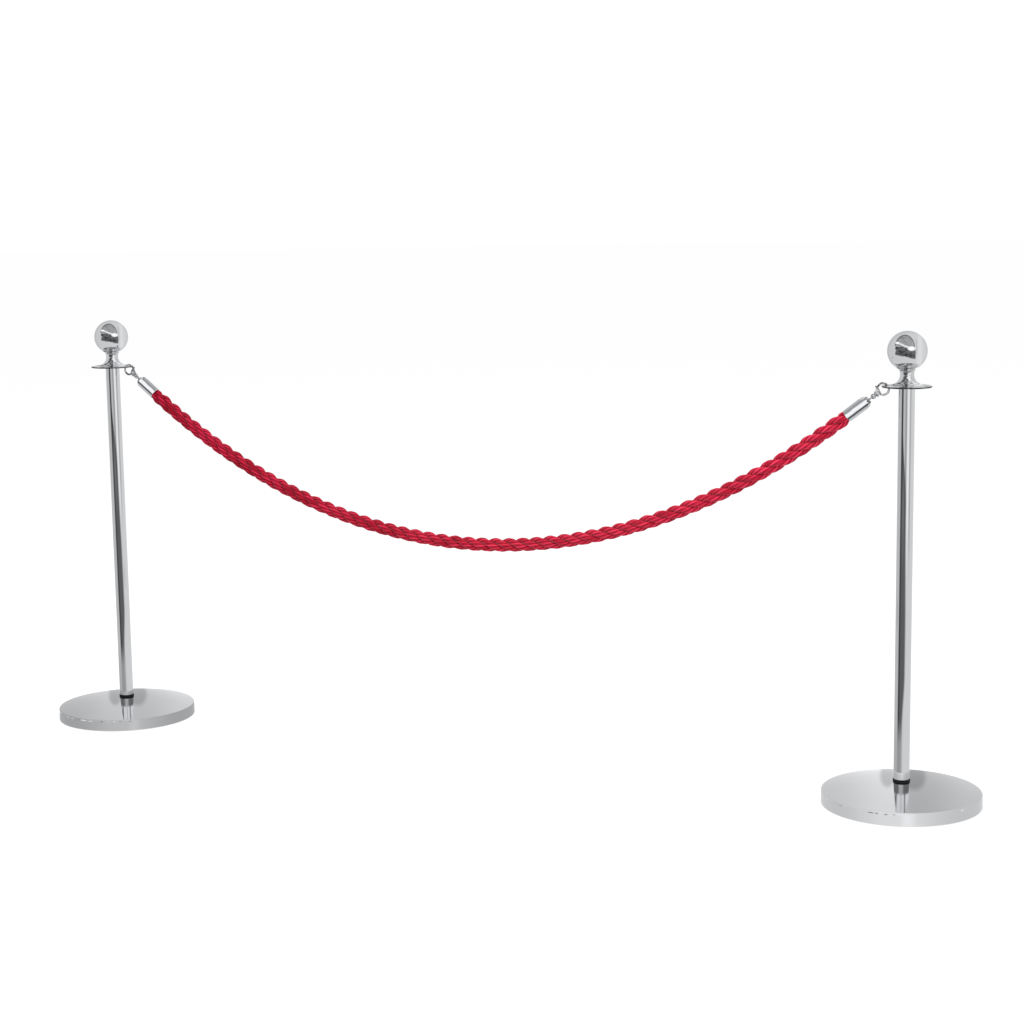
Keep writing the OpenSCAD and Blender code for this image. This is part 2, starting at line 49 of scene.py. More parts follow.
# ---------------------------------------------------------------- node helpers
class Tree:
    """Short way to write shader maths: every call returns an output socket."""

    def __init__(self, tree):
        self.t = tree

    def node(self, kind, **props):
        n = self.t.nodes.new(kind)
        for k, v in props.items():
            setattr(n, k, v)
        return n

    def plug(self, value, socket):
        if isinstance(value, (int, float)):
            socket.default_value = value
        elif isinstance(value, (tuple, list)):
            v = list(value)
            n = len(socket.default_value)
            socket.default_value = (v + [1.0])[:n] if len(v) < n else v[:n]
        else:
            self.t.links.new(value, socket)

    def math(self, op, a, b=0.0, c=None, clamp=False):
        n = self.node("ShaderNodeMath", operation=op, use_clamp=clamp)
        self.plug(a, n.inputs[0])
        self.plug(b, n.inputs[1])
        if c is not None:
            self.plug(c, n.inputs[2])
        return n.outputs[0]

    def add(self, a, b): return self.math("ADD", a, b)
    def sub(self, a, b): return self.math("SUBTRACT", a, b)
    def mul(self, a, b): return self.math("MULTIPLY", a, b)
    def div(self, a, b): return self.math("DIVIDE", a, b)
    def mx(self, a, b): return self.math("MAXIMUM", a, b)
    def mn(self, a, b): return self.math("MINIMUM", a, b)

    def vec(self, op, a, b=None, out=0):
        n = self.node("ShaderNodeVectorMath", operation=op)
        self.plug(a, n.inputs[0])
        if b is not None:
            self.plug(b, n.inputs["Scale"] if op == "SCALE" else n.inputs[1])
        return n.outputs[out]

    def dot(self, a, b):
        return self.vec("DOT_PRODUCT", a, b, out=1)

    def xyz(self, v):
        n = self.node("ShaderNodeSeparateXYZ")
        self.plug(v, n.inputs[0])
        return n.outputs[0], n.outputs[1], n.outputs[2]

    def join(self, x, y, z):
        n = self.node("ShaderNodeCombineXYZ")
        for v, s in zip((x, y, z), n.inputs):
            self.plug(v, s)
        return n.outputs[0]

    def step(self, x, a, b, lo=0.0, hi=1.0):
        """Smooth step of x from lo at a to hi at b."""
        n = self.node("ShaderNodeMapRange", interpolation_type="SMOOTHSTEP")
        self.plug(x, n.inputs[0])
        for v, i in zip((a, b, lo, hi), (1, 2, 3, 4)):
            self.plug(v, n.inputs[i])
        return n.outputs[0]

    def window(self, x, a, b, soft):
        """1 between a and b, with soft edges."""
        return self.mul(self.step(x, a - soft, a + soft), self.step(x, b - soft, b + soft, 1.0, 0.0))

    def lerp(self, f, a, b):
        n = self.node("ShaderNodeMix", data_type="FLOAT")
        self.plug(f, n.inputs[0])
        self.plug(a, n.inputs[2])
        self.plug(b, n.inputs[3])
        return n.outputs[0]

    def mix(self, f, a, b, blend="MIX"):
        n = self.node("ShaderNodeMix", data_type="RGBA", blend_type=blend)
        self.plug(f, n.inputs[0])
        self.plug(a, n.inputs[6])
        self.plug(b, n.inputs[7])
        return n.outputs[2]

    def noise(self, v, scale, detail=3.0, rough=0.55, w=None, out=0):
        n = self.node("ShaderNodeTexNoise", noise_dimensions="4D" if w is not None else "3D")
        self.plug(v, n.inputs["Vector"])
        n.inputs["Scale"].default_value = scale
        n.inputs["Detail"].default_value = detail
        n.inputs["Roughness"].default_value = rough
        if w is not None:
            n.inputs["W"].default_value = w
        return n.outputs[out]

    def voronoi(self, v, scale, feature="F1", rand=1.0):
        n = self.node("ShaderNodeTexVoronoi", feature=feature)
        self.plug(v, n.inputs["Vector"])
        n.inputs["Scale"].default_value = scale
        n.inputs["Randomness"].default_value = rand
        return n.outputs[0]

    def bump(self, height, distance, strength=1.0, normal=None):
        n = self.node("ShaderNodeBump")
        self.plug(height, n.inputs["Height"])
        n.inputs["Distance"].default_value = distance
        n.inputs["Strength"].default_value = strength
        if normal is not None:
            self.plug(normal, n.inputs["Normal"])
        return n.outputs[0]

    def position(self):
        return self.node("ShaderNodeTexCoord").outputs["Object"]


def new_material(name):
    m = bpy.data.materials.new(name)
    m.use_nodes = True
    m.node_tree.nodes.clear()
    t = Tree(m.node_tree)
    out = t.node("ShaderNodeOutputMaterial")
    b = t.node("ShaderNodeBsdfPrincipled")
    m.node_tree.links.new(b.outputs[0], out.inputs[0])
    return m, t, b


def edge_wear(t, radius=0.0012):
    """Near 1 on tight outside edges, 0 on open surfaces."""
    n = t.node("ShaderNodeBevel", samples=4)
    n.inputs["Radius"].default_value = radius
    geo = t.node("ShaderNodeNewGeometry")
    d = t.dot(n.outputs[0], geo.outputs["Normal"])
    return t.step(d, 0.995, 0.90)


# ---------------------------------------------------------------- metals
def chrome(name, colour, rough, axis="z", centre=(0.0, 0.0, 0.0), lines=0.5, seed=1.0, wear=0.5):
    """Polished metal: faint polishing lines round or along the part, wiped smears, fine scratches and dulled edges."""
    m, t, b = new_material(name)
    p = t.vec("SUBTRACT", t.position(), centre)
    x, y, z = t.xyz(p)
    rad = t.math("SQRT", t.add(t.mul(x, x), t.mul(y, y)))
    if axis == "rings":        # spun discs: rings round the middle
        lin = t.noise(t.join(t.mul(rad, 900.0), t.mul(z, 40.0), 0.0), 1.0, 2.0, 0.6, seed)
        fine = t.noise(t.join(t.mul(rad, 3200.0), 0.0, 0.0), 1.0, 1.0, 0.5, seed + 3)
    elif axis == "turned":     # turned parts: rings along z
        lin = t.noise(t.join(0.0, 0.0, t.mul(z, 1100.0)), 1.0, 2.0, 0.6, seed)
        fine = t.noise(t.join(t.mul(x, 60.0), t.mul(y, 60.0), t.mul(z, 3000.0)), 1.0, 1.0, 0.5, seed + 3)
    else:                      # drawn tube: very faint lines along z
        lin = t.noise(t.join(t.mul(x, 900.0), t.mul(y, 900.0), t.mul(z, 2.0)), 1.0, 2.0, 0.6, seed)
        fine = t.noise(t.join(t.mul(x, 2500.0), t.mul(y, 2500.0), t.mul(z, 8.0)), 1.0, 1.0, 0.5, seed + 3)
    smear = t.noise(p, 9.0, 4.0, 0.6, seed + 7)
    blot = t.noise(p, 38.0, 3.0, 0.5, seed + 11)
    warp = t.vec("ADD", p, t.vec("SCALE", t.noise(p, 30.0, 1.0, 0.5, seed + 5, out=1), 0.05))
    scr = t.voronoi(t.vec("MULTIPLY", warp, (55.0, 260.0, 90.0)), 1.0, "DISTANCE_TO_EDGE")
    scratch = t.mul(t.step(scr, 0.0, 0.012, 1.0, 0.0), t.step(blot, 0.52, 0.66))
    edge = edge_wear(t)
    r = t.add(rough * 0.6, t.mul(t.step(smear, 0.38, 0.72), rough * 0.9))
    r = t.add(r, t.mul(t.step(blot, 0.5, 0.75), rough * 0.5))
    r = t.add(r, t.mul(lin, rough * 0.4 * lines))
    r = t.add(r, t.mul(scratch, 0.10 * wear))
    r = t.add(r, t.mul(edge, 0.10 * wear))
    t.plug(r, b.inputs["Roughness"])
    dark = tuple(c * 0.90 for c in colour)
    col = t.mix(t.mul(t.step(smear, 0.45, 0.8), 0.5), colour, dark)
    col = t.mix(t.mul(scratch, 0.22 * wear), col, tuple(c * 0.6 for c in colour))
    col = t.mix(t.mul(edge, 0.25 * wear), col, tuple(min(1.0, c * 1.18) for c in colour))
    t.plug(col, b.inputs["Base Color"])
    b.inputs["Metallic"].default_value = 1.0
    h = t.add(t.mul(lin, 0.7 * lines), t.mul(fine, 0.3 * lines))
    n1 = t.bump(h, 0.0000012, 1.0)
    n2 = t.bump(t.noise(p, 14.0, 2.0, 0.5, seed + 17), 0.00002, 0.5, n1)
    n3 = t.bump(scratch, 0.000004, 0.6 * wear, n2)
    t.plug(n3, b.inputs["Normal"])
    return m


def plated(name, colour, seed=1.0, rough=0.34):
    """Zinc or spring steel: brushed grain, cloudy plate and darker specks."""
    m, t, b = new_material(name)
    p = t.position()
    x, y, z = t.xyz(p)
    grain = t.noise(t.join(t.mul(x, 300.0), t.mul(y, 300.0), t.mul(z, 2600.0)), 1.0, 3.0, 0.6, seed)
    cloud = t.noise(p, 120.0, 4.0, 0.6, seed + 2)
    speck = t.step(t.noise(p, 900.0, 2.0, 0.6, seed + 5), 0.62, 0.72)
    col = t.mix(t.step(cloud, 0.35, 0.7), colour, tuple(c * 0.78 for c in colour))
    col = t.mix(t.mul(speck, 0.5), col, (0.22, 0.20, 0.17))
    t.plug(col, b.inputs["Base Color"])
    b.inputs["Metallic"].default_value = 1.0
    t.plug(t.add(t.add(rough - 0.08, t.mul(cloud, 0.2)), t.mul(grain, 0.12)), b.inputs["Roughness"])
    t.plug(t.bump(t.add(grain, t.mul(speck, 0.6)), 0.00002, 0.7), b.inputs["Normal"])
    return m


def cast_iron(name):
    m, t, b = new_material(name)
    p = t.position()
    grit = t.noise(p, 520.0, 5.0, 0.7)
    lump = t.noise(p, 60.0, 3.0, 0.5)
    chip = t.mul(t.step(t.noise(p, 150.0, 3.0, 0.6, 4.0), 0.64, 0.68), t.step(edge_wear(t, 0.002), 0.1, 0.6))
    col = t.mix(t.step(lump, 0.35, 0.7), (0.030, 0.031, 0.034), (0.055, 0.053, 0.052))
    col = t.mix(chip, col, (0.16, 0.11, 0.08))
    t.plug(col, b.inputs["Base Color"])
    t.plug(t.add(0.52, t.mul(grit, 0.3)), b.inputs["Roughness"])
    t.plug(t.bump(t.add(t.mul(grit, 0.7), t.mul(lump, 1.6)), 0.0004, 0.8), b.inputs["Normal"])
    return m


def rubber(name, colour, scuff, seed=1.0):
    m, t, b = new_material(name)
    p = t.position()
    fine = t.noise(p, 1400.0, 3.0, 0.6, seed)
    dust = t.step(t.noise(p, 70.0, 4.0, 0.65, seed + 3), 0.48, 0.74)
    edge = edge_wear(t, 0.0015)
    col = t.mix(t.mul(dust, 0.5 * scuff), colour, (0.16, 0.155, 0.15))
    col = t.mix(t.mul(edge, 0.35 * scuff), col, (0.11, 0.11, 0.11))
    t.plug(col, b.inputs["Base Color"])
    t.plug(t.add(0.42, t.add(t.mul(dust, 0.25), t.mul(fine, 0.15))), b.inputs["Roughness"])
    b.inputs["Specular IOR Level"].default_value = 0.15 + 0.3 * scuff
    t.plug(t.bump(fine, 0.00005, 0.6), b.inputs["Normal"])
    return m


# ---------------------------------------------------------------- rope yarn
def yarn(name):
    """Satin red yarn. The UV map runs (yarns round the strand, metres along the rope)."""
    m, t, b = new_material(name)
    uv = t.node("ShaderNodeUVMap", uv_map="yarn").outputs[0]
    u, v, _ = t.xyz(uv)
    p = t.position()
    cell = t.math("FLOOR", u)
    frac = t.math("FRACT", u)
    # fibres: thin lines along each yarn, wandering a little
    wander = t.mul(t.noise(t.join(t.mul(v, 40.0), cell, 0.0), 1.0, 2.0, 0.5), 0.5)
    fib = t.noise(t.join(t.mul(t.add(u, wander), 9.0), t.mul(v, 55.0), 0.0), 1.0, 3.0, 0.65)
    fib2 = t.noise(t.join(t.mul(u, 22.0), t.mul(v, 160.0), 3.0), 1.0, 2.0, 0.6)
    tone = t.noise(t.join(t.mul(cell, 3.7), t.mul(v, 9.0), 1.0), 1.0, 2.0, 0.5)
    soil = t.noise(p, 14.0, 4.0, 0.6)
    groove = t.math("ABSOLUTE", t.sub(frac, 0.5))
    gap = t.step(groove, 0.24, 0.47)
    crown = t.step(groove, 0.26, 0.0)
    base = t.mix(t.step(tone, 0.3, 0.7), (0.31, 0.002, 0.016), (0.47, 0.008, 0.034))
    # painted highlight: the crown of each yarn is lightened to pale pink
    base = t.mix(t.mul(crown, t.mul(t.step(tone, 0.35, 0.62), 0.62)), base, (0.86, 0.075, 0.14))
    base = t.mix(t.mul(t.step(fib, 0.5, 0.8), 0.50), base, (0.78, 0.055, 0.115))
    base = t.mix(t.mul(t.step(fib, 0.5, 0.22), 0.6), base, (0.20, 0.001, 0.010))
    # painted shade: the grooves between the yarns are darkened to deep red
    base = t.mix(t.mul(gap, 0.62), base, (0.15, 0.0, 0.010))
    base = t.mix(t.mul(t.step(soil, 0.55, 0.8), 0.10), base, (0.30, 0.03, 0.04))
    # the red deepens towards the far end of the set, where less light reaches it
    x = t.xyz(p)[0]
    shade = t.mix(t.step(x, -0.95, 0.05), (0.72, 0.34, 0.60), (0.95, 0.72, 0.84))
    shade = t.mix(t.step(x, 0.05, 0.85), shade, (1.10, 1.0, 1.14))
    base = t.mix(1.0, base, shade, "MULTIPLY")
    t.plug(base, b.inputs["Base Color"])
    t.plug(t.add(0.38, t.mul(fib, 0.30)), b.inputs["Roughness"])
    t.plug(t.step(x, -0.95, 0.30, 0.10, 0.16), b.inputs["Specular IOR Level"])
    b.inputs["Sheen Weight"].default_value = 0.04
    b.inputs["Sheen Roughness"].default_value = 0.4
    b.inputs["Sheen Tint"].default_value = (1.0, 0.20, 0.28, 1.0)
    h = t.add(t.mul(fib, 1.0), t.add(t.mul(fib2, 0.5), t.mul(gap, -1.0)))
    t.plug(t.bump(h, 0.00030, 0.8), b.inputs["Normal"])
    return m


def thread_end(name):
    """Cut rope face inside a cap or joint: packed fibre ends."""
    m, t, b = new_material(name)
    p = t.position()
    c = t.voronoi(p, 1800.0)
    t.plug(t.mix(t.step(c, 0.1, 0.7), (0.50, 0.02, 0.06), (0.16, 0.0, 0.012)), b.inputs["Base Color"])
    t.plug(t.add(0.65, t.mul(c, 0.2)), b.inputs["Roughness"])
    t.plug(t.bump(c, 0.0003, 0.7), b.inputs["Normal"])
    return m


STEEL = (0.66, 0.665, 0.675)
PLATE = (0.68, 0.685, 0.70)


def post_centre(side):
    lo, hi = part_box(side + "_tube")
    return ((lo.x + hi.x) / 2, (lo.y + hi.y) / 2, 0.0)


MATS = {
    "cast_weight": cast_iron("cast_weight_look"),
    "pad_rubber": rubber("pad_rubber_look", (0.020, 0.020, 0.021), 1.0, 2.0),
    "black_rubber": rubber("ring_rubber_look", (0.006, 0.006, 0.007), 0.12, 5.0),
    "plated_steel": plated("plated_steel_look", (0.60, 0.61, 0.62), 2.0),
    "spring_steel": plated("spring_steel_look", (0.42, 0.43, 0.45), 9.0, 0.28),
    "hook_chrome": chrome("hook_chrome_look", PLATE, 0.07, "turned", lines=0.3, seed=21.0, wear=1.0),
    "rope": thread_end("rope_core_look"),
}
for k, side in enumerate(("left", "right")):
    c = post_centre(side)
    MATS[side + "_base_cover"] = chrome(side + "_cover_look", STEEL, 0.05, "rings", c, 0.5, 31.0 + k, 0.6)
    MATS[side + "_tube"] = chrome(side + "_tube_look", STEEL, 0.045, "drawn", c, 0.6, 41.0 + k, 0.5)
    MATS[side + "_collar"] = chrome(side + "_collar_look", STEEL, 0.06, "rings", c, 0.5, 51.0 + k, 0.8)
    MATS[side + "_finial"] = chrome(side + "_finial_look", STEEL, 0.035, "turned", c, 0.4, 61.0 + k, 0.5)
    MATS[side + "_ball"] = chrome(side + "_ball_look", STEEL, 0.02, "turned", c, 0.2, 71.0 + k, 0.35)
    lo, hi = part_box(side + "_end_cap")
    MATS[side + "_end_cap"] = chrome(side + "_cap_look", PLATE, 0.07, "turned", tuple((lo + hi) / 2), 0.5, 81.0 + k, 0.9)

slots = {s["node"]: s["material_slot"] for s in frame["record"]["subparts"]}
for name, obj in NODES.items():
    mat = MATS.get(name) or MATS.get(slots[name])
    obj.data.materials.clear()
    obj.data.materials.append(mat)


# ---------------------------------------------------------------- rope
# centre line: the same catenary as the rope segments, carried on straight into both caps
ROPE_R = 0.015
LAY = 0.098
STRAND_R = 0.00695
STRAND_AT = ROPE_R - STRAND_R
YARNS = 6
COLS = 60
GROOVE = 0.0010
STEP = 0.0015
knots = [Vector(JOINTS["rope_bend_%02d" % i]["pos_m"]) for i in range(1, 6)]
# fit a and the end height from the joints' own places: z = z0 + a (cosh(x/a) - 1)
mid = knots[2]
lo_a, hi_a = 0.5, 3.0
for _ in range(80):
    a_ = (lo_a + hi_a) / 2
    if a_ * (math.cosh(knots[0].x / a_) - 1) > knots[0].z - mid.z:
        lo_a = a_
    else:
        hi_a = a_
CAT = (lo_a + hi_a) / 2
knot_s = [CAT * math.sinh(k.x / CAT) for k in knots]
SEG_LEN = knot_s[1] - knot_s[0]      # two rope segments
HALF = 3 * SEG_LEN


def line_point(s):
    """Point and tangent of the centre line at arc length s from the lowest point."""
    c = max(-HALF, min(HALF, s))
    x = CAT * math.asinh(c / CAT)
    z = mid.z + math.sqrt(CAT * CAT + c * c) - CAT
    tx = 1 / math.sqrt(1 + (c / CAT) ** 2)
    tz = (c / CAT) * tx
    d = s - c
    return x + d * tx, z + d * tz, tx, tz


BORE = 0.0118            # rope radius held inside a cap
BULGE = 0.014            # length over which it swells to full size


def size_at(s):
    over = HALF - abs(s)
    f = max(0.0, min(1.0, (over + 0.0005) / BULGE))
    f = f * f * (3 - 2 * f)
    return BORE / ROPE_R + (1 - BORE / ROPE_R) * f


# the yarns run back against the strands, so on the outside they lie almost along the rope
YARN_TURN = -(0.10 / ROPE_R + 2 * math.pi / LAY) * ROPE_R / (STRAND_R * 1.12)
lumps = np.random.default_rng(419)
LUMP = lumps.normal(0, 1, (3, YARNS, 8))


def rope_piece(index, s0, s1):
    n = max(8, int(round((s1 - s0) / STEP)))
    ss = np.linspace(s0, s1, n + 1)
    line = np.array([line_point(float(s)) for s in ss])
    k = np.array([size_at(float(s)) for s in ss])
    verts, faces, uvs, mats = [], [], [], []
    cols = np.arange(COLS) / COLS
    for strand in range(3):
        th = 2 * math.pi * (ss / LAY + strand / 3.0) + 0.4
        cy = STRAND_AT * k * np.cos(th)                    # along +Y
        cn = STRAND_AT * k * np.sin(th)                    # along the line's normal
        base = len(verts)
        # phase of each yarn column round the strand, measured from the outward direction
        phi = 2 * math.pi * cols[None, :] + (YARN_TURN * ss)[:, None]
        yarn_i = (cols * YARNS).astype(int)
        frac = (cols * YARNS) % 1.0
        crown = np.sqrt(np.clip(1 - (2 * frac - 1) ** 2, 0, 1))
        lump = np.zeros((n + 1, COLS))
        for h in range(8):
            lump += LUMP[strand, yarn_i, h][None, :] * np.sin(ss[:, None] * (37 + 29 * h) * 2 + 1.7 * h + strand) / (1 + h)
        rad = (STRAND_R - GROOVE + GROOVE * crown[None, :] + 0.00007 * lump) * k[:, None]
        # a helix is cut at a slant by each ring, so strands are wider round the rope than across it
        w = th[:, None] + phi
        e_r = np.cos(phi) * rad
        e_t = np.sin(phi) * rad * 1.12
        y = cy[:, None] + e_r * np.cos(th)[:, None] - e_t * np.sin(th)[:, None]
        m_ = cn[:, None] + e_r * np.sin(th)[:, None] + e_t * np.cos(th)[:, None]
        X = line[:, 0][:, None] - line[:, 3][:, None] * m_
        Z = line[:, 1][:, None] + line[:, 2][:, None] * m_
        grid = np.stack([X, y, Z], axis=2).reshape(-1, 3)
        verts.extend(grid.tolist())
        for i in range(n):
            for j in range(COLS):
                a = base + i * COLS + j
                b_ = base + i * COLS + (j + 1) % COLS
                faces.append((a, a + COLS, b_ + COLS, b_))
                u0, u1 = j / COLS * YARNS, (j + 1) / COLS * YARNS
                uvs.extend([(u0, ss[i]), (u0, ss[i + 1]), (u1, ss[i + 1]), (u1, ss[i])])
                mats.append(0)
        # closed ends
        for i, flip in ((0, False), (n, True)):
            centre = len(verts)
            px, pz, tx, tz = line[i]
            verts.append([px - tz * cn[i], cy[i], pz + tx * cn[i]])
            for j in range(COLS):
                a = base + i * COLS + j
                b_ = base + i * COLS + (j + 1) % COLS
                faces.append((centre, b_, a) if flip else (centre, a, b_))
                uvs.extend([(0, ss[i])] * 3)
                mats.append(1)
    me = bpy.data.meshes.new("rope_length_%02d" % index)
    me.from_pydata(verts, [], faces)
    me.update()
    layer = me.uv_layers.new(name="yarn")
    layer.data.foreach_set("uv", np.array(uvs, np.float32).ravel())
    me.materials.append(ROPE_YARN)
    me.materials.append(ROPE_END)
    me.polygons.foreach_set("material_index", mats)
    me.polygons.foreach_set("use_smooth", [m == 0 for m in mats])
    o = bpy.data.objects.new("rope_length_%02d" % index, me)
    scene.collection.objects.link(o)
    return o


ROPE_YARN = yarn("rope_yarn_look")
ROPE_END = thread_end("rope_end_look")
COVERS = [("01", "02", "03"), ("04", "05"), ("06", "07"), ("08", "09"), ("10", "11", "12")]
IN_CAP = 0.034
for i in range(1, 6):
    s_mid = knot_s[i - 1]
    s0 = s_mid - SEG_LEN / 2 if i > 1 else -HALF - IN_CAP
    s1 = s_mid + SEG_LEN / 2 if i < 5 else HALF + IN_CAP
    piece = rope_piece(i, s0, s1)
    k = knots[i - 1]
    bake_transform(piece)
    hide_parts(*["rope_seg_" + c for c in COVERS[i - 1]])
    piece.visible_glossy = False


# ---------------------------------------------------------------- studio
def studio_group():
    """Light seen in the polished metal. A reflection is placed by the half-way direction between it and the
    camera, which is where it lands on a mirror ball, so the studio keeps behind the camera from any side."""
    g = bpy.data.node_groups.new("studio", "ShaderNodeTree")
    g.interface.new_socket("Value", in_out="OUTPUT", socket_type="NodeSocketFloat")
    t = Tree(g)
    out = t.node("NodeGroupOutput")
    geo = t.node("ShaderNodeNewGeometry")
    inc = geo.outputs["Incoming"]
    length = t.node("ShaderNodeLightPath").outputs["Ray Length"]
    origin = t.vec("ADD", geo.outputs["Position"], t.vec("SCALE", inc, length))
    cam = t.node("ShaderNodeVectorTransform", vector_type="POINT", convert_from="CAMERA", convert_to="WORLD")
    cam.inputs[0].default_value = (0, 0, 0)
    to_cam = t.vec("NORMALIZE", t.vec("SUBTRACT", cam.outputs[0], origin))
    ray = t.vec("SCALE", inc, -1.0)
    half = t.vec("NORMALIZE", t.vec("ADD", ray, to_cam))
    right = t.vec("NORMALIZE", t.vec("CROSS_PRODUCT", (0, 0, 1), to_cam))
    up = t.vec("CROSS_PRODUCT", to_cam, right)
    X, Y = t.dot(half, right), t.dot(half, up)
    ox, _, oz = t.xyz(origin)
    _, _, rz = t.xyz(ray)
    rad2 = t.math("SQRT", t.add(t.mul(X, X), t.mul(Y, Y)))
    mottle = t.step(t.noise(t.join(t.mul(X, 4.5), t.mul(Y, 7.0), 0.0), 1.0, 3.0, 0.55), 0.34, 0.66)

    # upper parts: ball, finial, collar, hooks
    tilt = t.add(Y, t.add(t.mul(X, 0.20), t.mul(t.sub(mottle, 0.5), 0.045)))
    cyc = t.add(0.86, t.mul(t.step(X, -0.9, 0.9), 0.10))
    cyc = t.add(cyc, t.mul(t.window(X, 0.48, 0.72, 0.05), 0.12))
    cyc = t.sub(cyc, t.mul(t.mul(t.window(X, 0.40, 0.50, 0.05), t.window(Y, -0.25, 0.60, 0.15)), 0.16))
    cyc = t.sub(cyc, t.mul(t.step(rad2, 0.84, 1.0), 0.20))
    edge_l = t.add(-0.585, t.mul(t.sub(mottle, 0.5), 0.04))
    side = t.mul(t.step(t.sub(X, edge_l), -0.025, 0.025), t.step(X, 0.375, 0.43, 1.0, 0.0))
    dark = t.mul(side, t.window(tilt, -0.325, 0.13, 0.030))
    dark_v = t.add(0.05, t.mul(mottle, 0.18))
    hood = t.math("SQRT", t.add(t.math("POWER", t.div(t.add(X, 0.13), 0.50), 2.0), t.math("POWER", t.div(t.sub(Y, 0.17), 0.64), 2.0)))
    above = t.step(tilt, 0.10, 0.17)
    room = t.mul(above, t.step(hood, 0.94, 1.02, 1.0, 0.0))
    room_v = t.add(t.add(0.27, t.mul(t.step(X, -0.4, 0.3), 0.12)), t.add(0.06, t.mul(mottle, 0.22)))
    rim = t.mul(above, t.window(hood, 0.90, 0.98, 0.045))
    v = t.lerp(dark, cyc, dark_v)
    v = t.lerp(room, v, room_v)
    v = t.lerp(t.mul(rim, 0.85), v, 0.14)
    # lamp and the bright strip leading to it
    lamp = t.step(t.math("SQRT", t.add(t.math("POWER", t.div(t.sub(X, 0.20), 0.22), 2.0), t.math("POWER", t.div(t.sub(Y, 0.11), 0.135), 2.0))), 0.45, 1.15, 1.0, 0.0)
    line = t.sub(Y, t.add(0.195, t.mul(X, -0.42)))
    strip = t.mul(t.window(line, -0.045, 0.035, 0.035), t.window(X, -0.56, 0.30, 0.05))
    patch = t.step(t.math("SQRT", t.add(t.math("POWER", t.div(t.add(X, 0.49), 0.11), 2.0), t.math("POWER", t.div(t.sub(Y, 0.39), 0.055), 2.0))), 0.6, 1.15, 1.0, 0.0)
    v = t.lerp(t.mx(t.mul(strip, 0.75), t.mx(lamp, patch)), v, 1.6)
    # necks: broken dark patches on the left of the middle, bright ones on the right
    neck = t.mul(t.step(oz, 0.8432, 0.8460), t.step(oz, 0.889, 0.880))
    fleck = t.noise(t.join(t.mul(X, 5.5), t.mul(Y, 1.6), t.mul(oz, 260.0)), 1.0, 3.0, 0.6)
    nd = t.mul(t.window(X, -0.50, 0.10, 0.07), t.step(fleck, 0.38, 0.50))
    nb = t.mul(t.window(X, 0.05, 0.48, 0.06), t.step(fleck, 0.60, 0.52))
    nv = t.lerp(nd, t.lerp(nb, 0.84, 1.35), 0.10)
    nv = t.lerp(t.mul(t.window(X, 0.12, 0.60, 0.05), t.step(fleck, 0.60, 0.66)), nv, 0.22)
    v = t.lerp(neck, v, nv)
    # collar: rim and underside meet a dark room edge
    v = t.lerp(t.window(oz, 0.83975, 0.84265, 0.0002), v, t.add(0.02, t.mul(t.step(mottle, 0.80, 0.98), 0.22)))

    # tubes: soft upright bands, the dark one widening lower down and gone near the foot
    low = t.step(oz, 0.76, 0.60)
    lines = t.step(oz, 0.42, 0.62)
    e1 = t.sub(t.add(t.add(-0.38, t.mul(low, 0.38)), t.mul(t.step(oz, 0.60, 0.34), 0.13)), t.mul(t.step(oz, 0.27, 0.16), 0.26))
    fade = t.step(oz, 0.185, 0.115)
    band = t.mul(t.step(X, -0.64, -0.52), t.step(X, t.sub(e1, 0.05), t.add(e1, t.lerp(low, 0.06, 0.22)), 1.0, 0.0))
    band_in = t.mul(low, t.lerp(t.step(oz, 0.60, 0.45), 0.16, 0.095))
    band_v = t.add(0.065, t.mul(t.step(X, -0.50, -0.30), band_in))
    w = t.lerp(band, t.add(0.71, t.mul(t.step(X, -0.30, 0.25), 0.20)), t.lerp(fade, band_v, 0.50))
    w = t.mul(w, t.sub(1.0, t.mul(t.mul(t.window(X, -0.12, 0.08, 0.05), lines), 0.42)))
    w = t.add(w, t.mul(t.mul(t.window(X, 0.13, 0.37, 0.05), lines), 0.28))
    w = t.sub(w, t.mul(t.mul(t.window(X, 0.41, 0.57, 0.04), lines), 0.30))
    w = t.sub(w, t.mul(t.mul(t.step(X, 0.2, -0.9), fade), 0.10))
    # the same tube seen again in the polished base below it: white streaks with thin dark lines
    twice = t.step(rz, 0.02, 0.05)
    m = t.sub(1.30, t.mul(t.window(X, -0.62, -0.50, 0.05), 1.0))
    m = t.sub(m, t.mul(t.window(X, -0.06, 0.02, 0.04), 0.55))
    m = t.sub(m, t.mul(t.window(X, 0.34, 0.46, 0.05), 0.95))
    m = t.lerp(t.step(oz, 0.090, 0.076), m, t.lerp(t.window(X, -0.30, 0.20, 0.15), 0.26, 0.75))
    w = t.lerp(t.mul(twice, t.step(oz, 0.40, 0.35)), w, m)

    # caps: grey upper side, broken white middle, thin dark streak low down
    face = t.math("SIGN", t.mul(ox, t.dot(right, (1.0, 0.0, 0.0))))
    q = t.sub(t.mul(Y, 0.80), t.mul(t.mul(X, face), 0.60))
    qs = t.add(q, t.mul(t.sub(t.noise(t.join(t.mul(ox, 55.0), t.mul(oz, 55.0), 0.0), 1.0, 2.0, 0.5), 0.5), 0.26))
    c = t.lerp(t.window(qs, -0.22, 0.30, 0.07), t.lerp(t.step(q, -0.2, 0.2), 0.88, 0.52), 1.38)
    c = t.lerp(t.step(q, 0.55, 0.95), c, 0.66)
    c = t.lerp(t.window(q, -0.58, -0.32, 0.07), c, 0.08)
    c = t.lerp(t.window(q, 0.50, 0.56, 0.03), c, 0.26)
